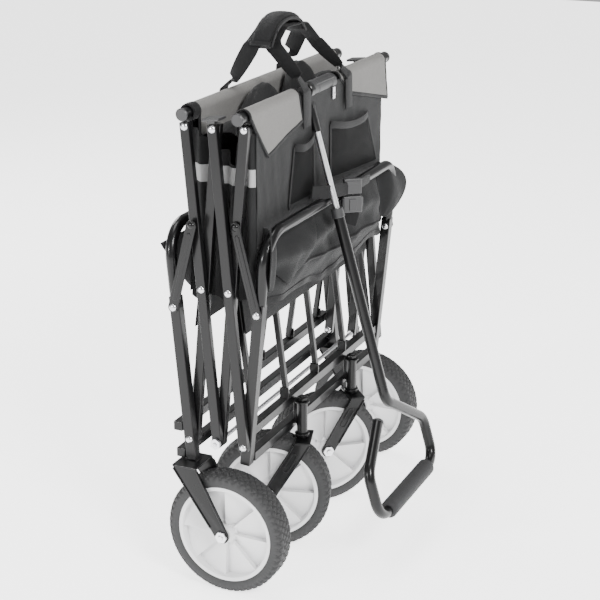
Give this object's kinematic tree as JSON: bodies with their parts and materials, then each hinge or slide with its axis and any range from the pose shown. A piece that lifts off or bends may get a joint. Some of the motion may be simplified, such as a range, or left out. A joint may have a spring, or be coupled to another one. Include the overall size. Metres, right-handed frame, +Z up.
{
  "type": "folding wagon",
  "caption": "Collapsible fabric wagon folded upright on its wheels: scissor sides, end bows, fixed rear wheels, swivel front casters, telescopic pull handle, fabric liner with carry straps.",
  "frame": {"origin": "on the ground, under the middle of the folded wagon's box", "axes": "+Z up, X across the wagon along the rails, the front with the casters and the handle faces -Y"},
  "size_m": [0.573, 0.3, 0.7931],
  "materials": {
    "frame_paint": "satin",
    "zinc_steel": "satin",
    "black_plastic": "matte",
    "grey_plastic": "matte",
    "grip_foam": "matte",
    "tyre_rubber": "matte",
    "hub_plastic": "satin",
    "dark_fabric": "woven",
    "mesh_fabric": "mesh",
    "webbing": "woven"
  },
  "bodies": {
    "rear_frame": {"rear_posts": "frame_paint", "rear_bow": "frame_paint", "rear_cross_tubes": "frame_paint", "rear_forks": "frame_paint", "rear_axles": "zinc_steel", "rear_frame_rivets": "zinc_steel"},
    "rear_inner_arms": {"rear_inner_bars": "frame_paint", "rear_inner_rivets": "zinc_steel"},
    "rear_outer_arms": {"rear_outer_bars": "frame_paint", "rear_top_rivets": "zinc_steel", "lower_pivot_rod": "zinc_steel"},
    "rear_rail": {"rear_rail": "frame_paint", "rear_rail_plugs": "black_plastic", "rear_panel": "dark_fabric", "rear_side_panels": "dark_fabric", "rear_carry_strap": "webbing"},
    "front_outer_arms": {"front_outer_bars": "frame_paint", "front_outer_rivets": "zinc_steel", "mid_caps": "black_plastic"},
    "front_inner_arms": {"front_inner_bars": "frame_paint", "front_top_rivets": "zinc_steel"},
    "front_frame": {"front_posts": "frame_paint", "front_bow": "frame_paint", "front_cross_tubes": "frame_paint", "caster_sleeves": "frame_paint", "front_frame_rivets": "zinc_steel", "tie_strap": "webbing", "tie_buckle": "black_plastic"},
    "front_rail": {"front_rail": "frame_paint", "front_rail_plugs": "black_plastic", "front_panel": "dark_fabric", "front_side_panels": "dark_fabric", "mesh_pockets": "mesh_fabric", "front_carry_strap": "webbing", "carry_wrap": "webbing"},
    "rear_links": {"rear_links": "frame_paint"},
    "front_links": {"front_links": "frame_paint"},
    "rear_floor": {"rear_floor_bars": "frame_paint", "rear_floor_panel": "dark_fabric"},
    "front_floor": {"front_floor_bars": "frame_paint", "front_floor_panel": "dark_fabric"},
    "handle_sleeve": {"handle_pivot_sleeve": "grey_plastic"},
    "handle_arm": {"handle_rod": "zinc_steel"},
    "handle_outer": {"handle_tube": "frame_paint", "handle_grip": "grip_foam", "handle_end_plug": "black_plastic"},
    "rear_wheel_left": {"rear_wheel_left_tyre": "tyre_rubber", "rear_wheel_left_hub": "hub_plastic"},
    "caster_left": {"caster_fork_left": "frame_paint", "front_axle_left": "zinc_steel"},
    "front_wheel_left": {"front_wheel_left_tyre": "tyre_rubber", "front_wheel_left_hub": "hub_plastic"},
    "rear_wheel_right": {"rear_wheel_right_tyre": "tyre_rubber", "rear_wheel_right_hub": "hub_plastic"},
    "caster_right": {"caster_fork_right": "frame_paint", "front_axle_right": "zinc_steel"},
    "front_wheel_right": {"front_wheel_right_tyre": "tyre_rubber", "front_wheel_right_hub": "hub_plastic"}
  },
  "joints": [
    {"name": "fold", "type": "hinge", "parent": "rear_frame", "child": "rear_inner_arms", "pos_m": [0, 0.11311, 0.219], "axis": [1, 0, 0], "range_deg": [0, 46.78]},
    {"name": "rear_cross_pivot", "type": "hinge", "parent": "rear_inner_arms", "child": "rear_outer_arms", "pos_m": [0, 0.09261, 0.44357], "axis": [1, 0, 0], "range_deg": [-93.59, 0]},
    {"name": "rear_rail_pivot", "type": "hinge", "parent": "rear_outer_arms", "child": "rear_rail", "pos_m": [0, 0.11311, 0.66813], "axis": [1, 0, 0], "range_deg": [0, 46.8]},
    {"name": "mid_top_pivot", "type": "hinge", "parent": "rear_inner_arms", "child": "front_outer_arms", "pos_m": [0, 0.07211, 0.66813], "axis": [1, 0, 0], "range_deg": [-93.59, 0]},
    {"name": "front_cross_pivot", "type": "hinge", "parent": "front_outer_arms", "child": "front_inner_arms", "pos_m": [0, 0.05161, 0.44357], "axis": [1, 0, 0], "range_deg": [0, 93.59]},
    {"name": "front_corner_pivot", "type": "hinge", "parent": "front_outer_arms", "child": "front_frame", "pos_m": [0, 0.03111, 0.219], "axis": [1, 0, 0], "range_deg": [0, 46.8]},
    {"name": "front_rail_pivot", "type": "hinge", "parent": "front_inner_arms", "child": "front_rail", "pos_m": [0, 0.03111, 0.66813], "axis": [1, 0, 0], "range_deg": [-46.8, 0]},
    {"name": "rear_link_pivot", "type": "hinge", "parent": "rear_frame", "child": "rear_links", "pos_m": [0, 0.13165, 0.41513], "axis": [1, 0, 0], "range_deg": [0, 75.93]},
    {"name": "front_link_pivot", "type": "hinge", "parent": "front_frame", "child": "front_links", "pos_m": [0, 0.01257, 0.41513], "axis": [1, 0, 0], "range_deg": [-75.93, 0]},
    {"name": "rear_floor_pivot", "type": "hinge", "parent": "rear_frame", "child": "rear_floor", "pos_m": [0, 0.13015, 0.252], "axis": [1, 0, 0], "range_deg": [0, 71.92]},
    {"name": "front_floor_pivot", "type": "hinge", "parent": "front_frame", "child": "front_floor", "pos_m": [0, 0.03111, 0.252], "axis": [1, 0, 0], "range_deg": [-71.92, 0]},
    {"name": "handle_push_out", "type": "hinge", "parent": "front_rail", "child": "handle_sleeve", "pos_m": [0, 0.03111, 0.68513], "axis": [-1, 0, 0], "range_deg": [0, 126.34]},
    {"name": "handle_swing", "type": "hinge", "parent": "handle_sleeve", "child": "handle_arm", "pos_m": [-0.042, 0.03111, 0.68513], "axis": [-1, 0, 0], "range_deg": [0, 40]},
    {"name": "handle_slide", "type": "slide", "parent": "handle_arm", "child": "handle_outer", "axis": [0, -0.2756, -0.9613], "range_m": [0, 0.15]},
    {"name": "rear_wheel_left_spin", "type": "hinge", "parent": "rear_frame", "child": "rear_wheel_left", "pos_m": [-0.2575, 0.05211, 0.09], "axis": [1, 0, 0], "continuous": true},
    {"name": "caster_left_swivel", "type": "hinge", "parent": "front_frame", "child": "caster_left", "pos_m": [-0.095, 0.01261, 0.176], "axis": [0, 0, 1], "range_deg": [-40, 240]},
    {"name": "front_wheel_left_spin", "type": "hinge", "parent": "caster_left", "child": "front_wheel_left", "pos_m": [-0.10922, 0.05636, 0.09], "axis": [0.9511, 0.309, 0], "continuous": true},
    {"name": "rear_wheel_right_spin", "type": "hinge", "parent": "rear_frame", "child": "rear_wheel_right", "pos_m": [0.2575, 0.05211, 0.09], "axis": [1, 0, 0], "continuous": true},
    {"name": "caster_right_swivel", "type": "hinge", "parent": "front_frame", "child": "caster_right", "pos_m": [0.095, 0.01261, 0.176], "axis": [0, 0, 1], "continuous": true},
    {"name": "front_wheel_right_spin", "type": "hinge", "parent": "caster_right", "child": "front_wheel_right", "pos_m": [0.06422, 0.04679, 0.09], "axis": [0.7431, 0.6691, 0], "continuous": true}
  ],
  "couplings": [
    {"joint": "rear_cross_pivot", "follows": "fold", "ratio": -2},
    {"joint": "rear_rail_pivot", "follows": "fold", "ratio": 1},
    {"joint": "mid_top_pivot", "follows": "fold", "ratio": -2},
    {"joint": "front_cross_pivot", "follows": "fold", "ratio": 2},
    {"joint": "front_corner_pivot", "follows": "fold", "ratio": 1},
    {"joint": "front_rail_pivot", "follows": "fold", "ratio": -1},
    {"joint": "rear_link_pivot", "follows": "fold", "ratio": 1.6226},
    {"joint": "front_link_pivot", "follows": "fold", "ratio": -1.6226},
    {"joint": "rear_floor_pivot", "follows": "fold", "ratio": 1.5369},
    {"joint": "front_floor_pivot", "follows": "fold", "ratio": -1.5369},
    {"joint": "handle_push_out", "follows": "fold", "ratio": 2.7}
  ]
}
